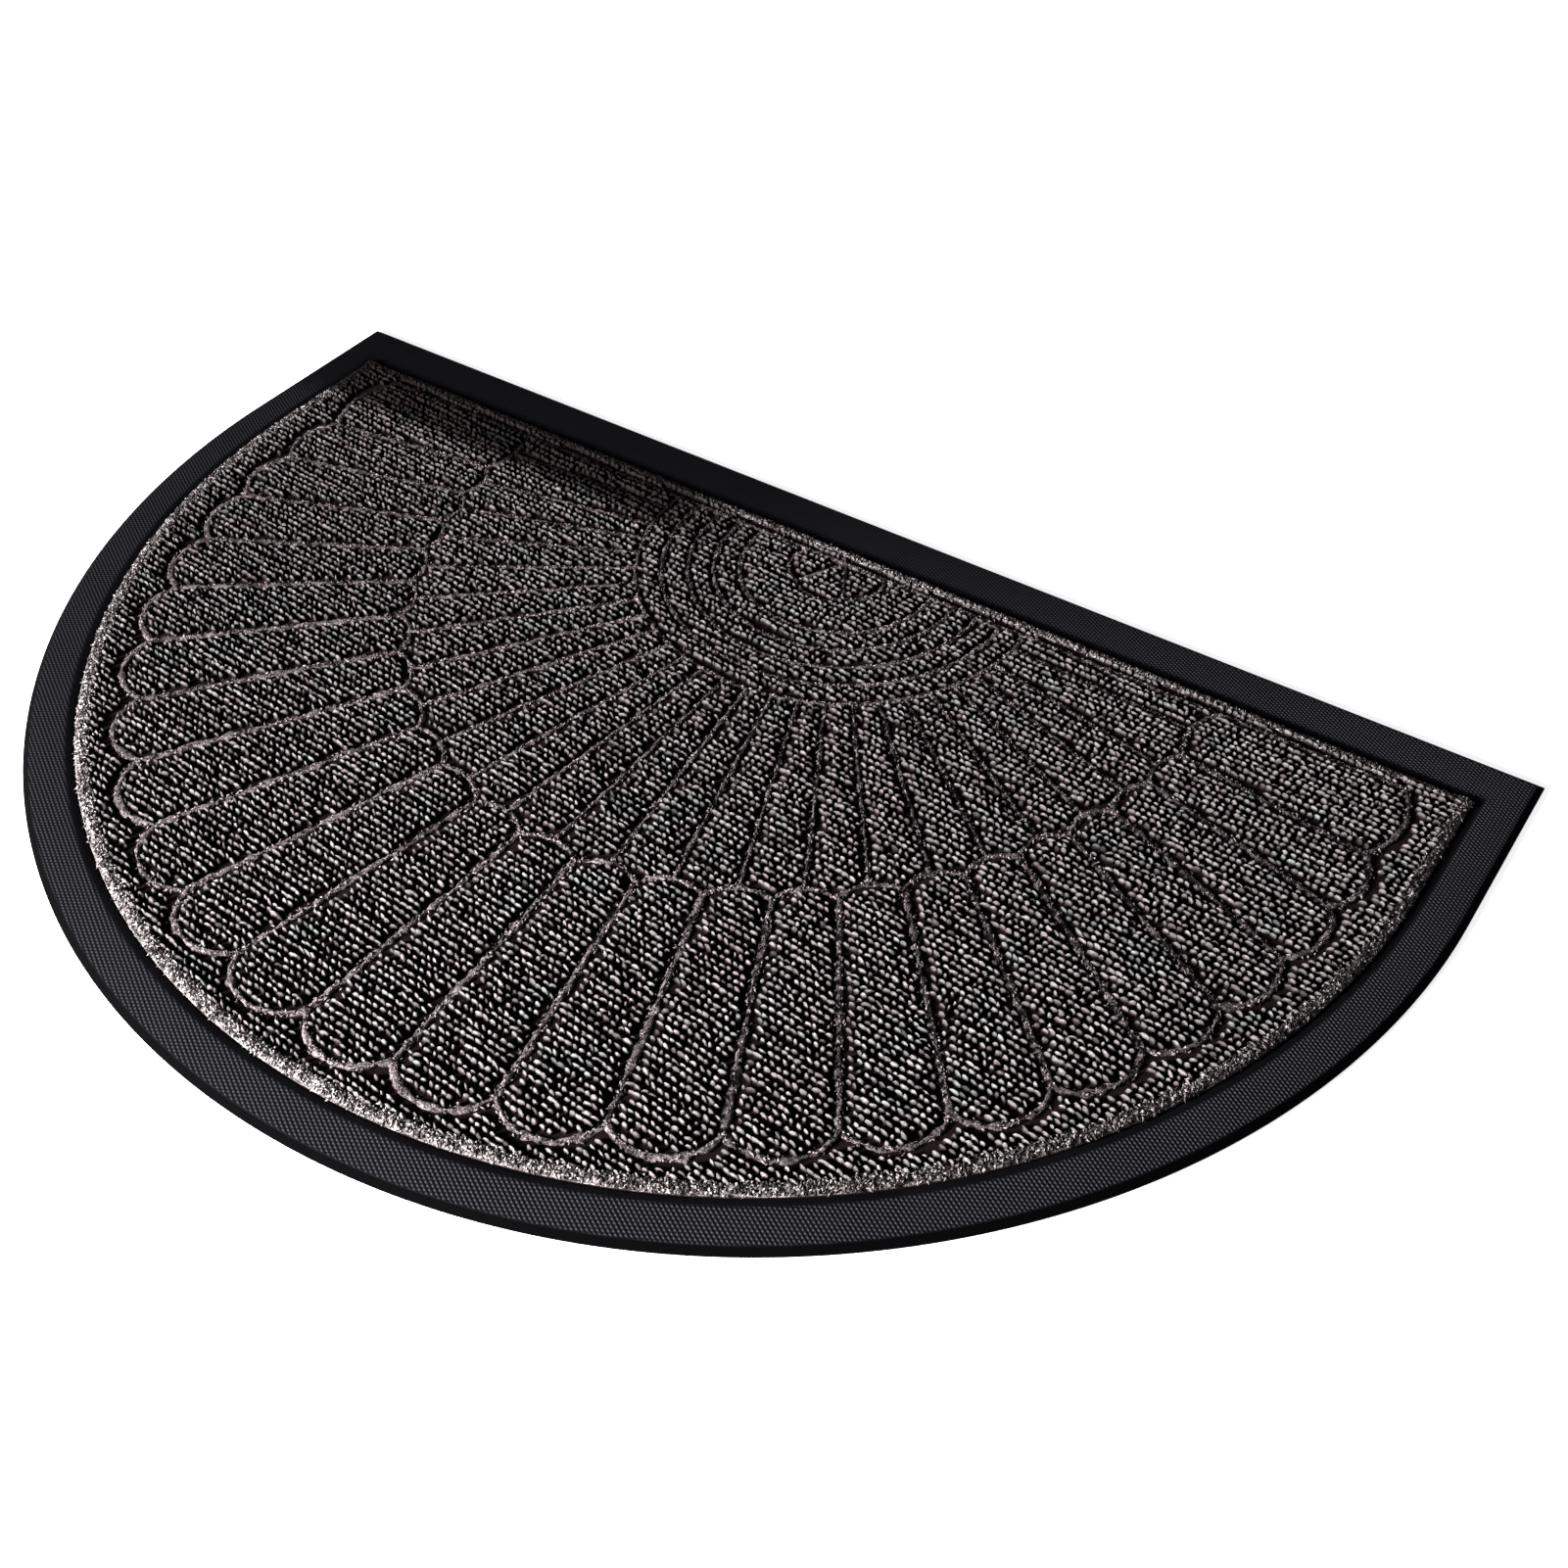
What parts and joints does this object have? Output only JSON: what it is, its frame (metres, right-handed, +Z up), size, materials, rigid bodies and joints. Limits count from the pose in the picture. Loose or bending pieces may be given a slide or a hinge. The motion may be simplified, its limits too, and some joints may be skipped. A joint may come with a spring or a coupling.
{
  "type": "doormat",
  "caption": "Half-round doormat: a moulded rubber base with a bevelled rim, and a carpet panel pressed with a fan of petals and half-round bands.",
  "frame": {"origin": "middle of the bounding box, on the floor", "axes": "+Z up; +X along the straight back edge; the straight back edge faces +Y and the round front faces -Y"},
  "size_m": [0.9, 0.6, 0.0084],
  "materials": {
    "rubber": "satin black moulded rubber with a fine grid texture",
    "carpet": "looped polypropylene carpet in charcoal and warm off-white, with heat-pressed grooves"
  },
  "bodies": {
    "root": {"rubber_base": "rubber", "carpet_panel": "carpet"}
  },
  "joints": []
}
